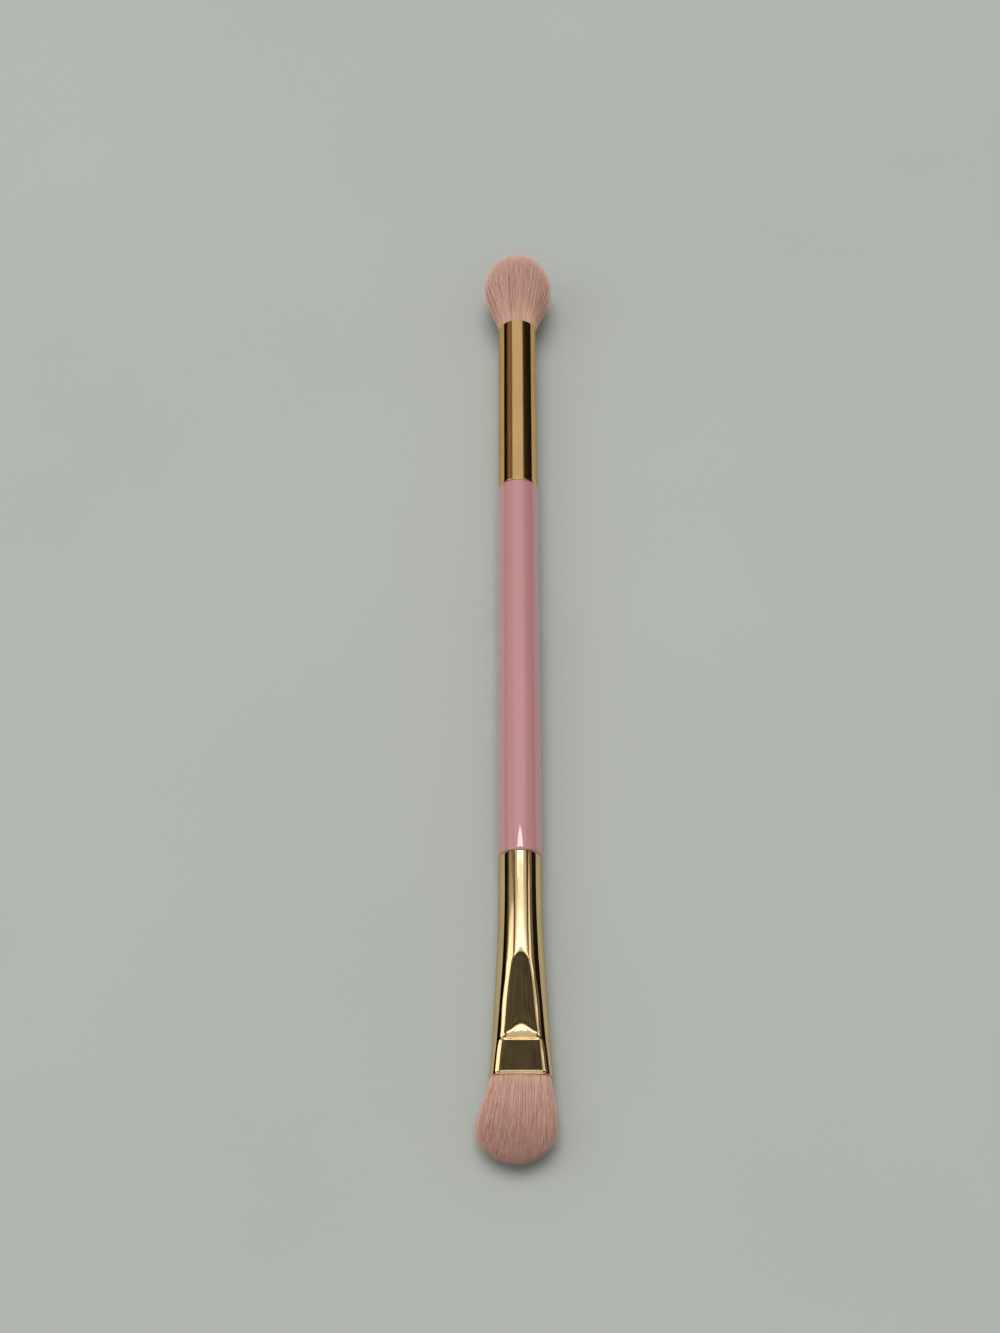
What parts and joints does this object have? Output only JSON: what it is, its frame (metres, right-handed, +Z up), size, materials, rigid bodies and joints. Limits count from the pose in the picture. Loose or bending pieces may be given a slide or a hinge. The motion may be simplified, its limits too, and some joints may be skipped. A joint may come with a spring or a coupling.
{
  "type": "double-ended eyeshadow brush",
  "caption": "Slim make-up brush with a lacquered handle, a metal ferrule at each end, a round domed blending tuft and a flat fan-shaped shader tuft.",
  "frame": {"origin": "on the surface that the brush lies on, under the middle of its length", "axes": "+Y along the brush towards the round blending end, +Z up with the shader end's flat faces level, +X to the right when looking along +Y"},
  "size_m": [0.012, 0.174, 0.0116],
  "materials": {
    "handle_lacquer": "turned wood under glossy pink lacquer",
    "ferrule_gold": "polished gold-coloured plating",
    "tenon_glue": "hardened clear amber glue film",
    "hair_glue": "hardened amber epoxy",
    "blending_hair": "soft pinkish-beige synthetic filament",
    "shader_hair": "soft pinkish-beige synthetic filament"
  },
  "bodies": {
    "brush_body": {"handle": "handle_lacquer", "blending_ferrule": "ferrule_gold", "blending_tenon_glue": "tenon_glue", "blending_hair_glue": "hair_glue", "blending_hair_base": "blending_hair", "shader_ferrule": "ferrule_gold", "shader_tenon_glue": "tenon_glue", "shader_hair_glue": "hair_glue", "shader_hair_base": "shader_hair"},
    "blending_tip": {"blending_hair_head": "blending_hair"},
    "shader_tip": {"shader_hair_head": "shader_hair"}
  },
  "joints": [
    {"name": "blending_flex", "type": "hinge", "parent": "brush_body", "child": "blending_tip", "pos_m": [0, 0.0723, 0.0058], "axis": [0, 0, 1], "range_deg": [-35, 35], "stiffness_Nm_per_rad": 0.004},
    {"name": "shader_flex", "type": "hinge", "parent": "brush_body", "child": "shader_tip", "pos_m": [0, -0.0758, 0.0058], "axis": [1, 0, 0], "range_deg": [-40, 40], "stiffness_Nm_per_rad": 0.0015}
  ]
}
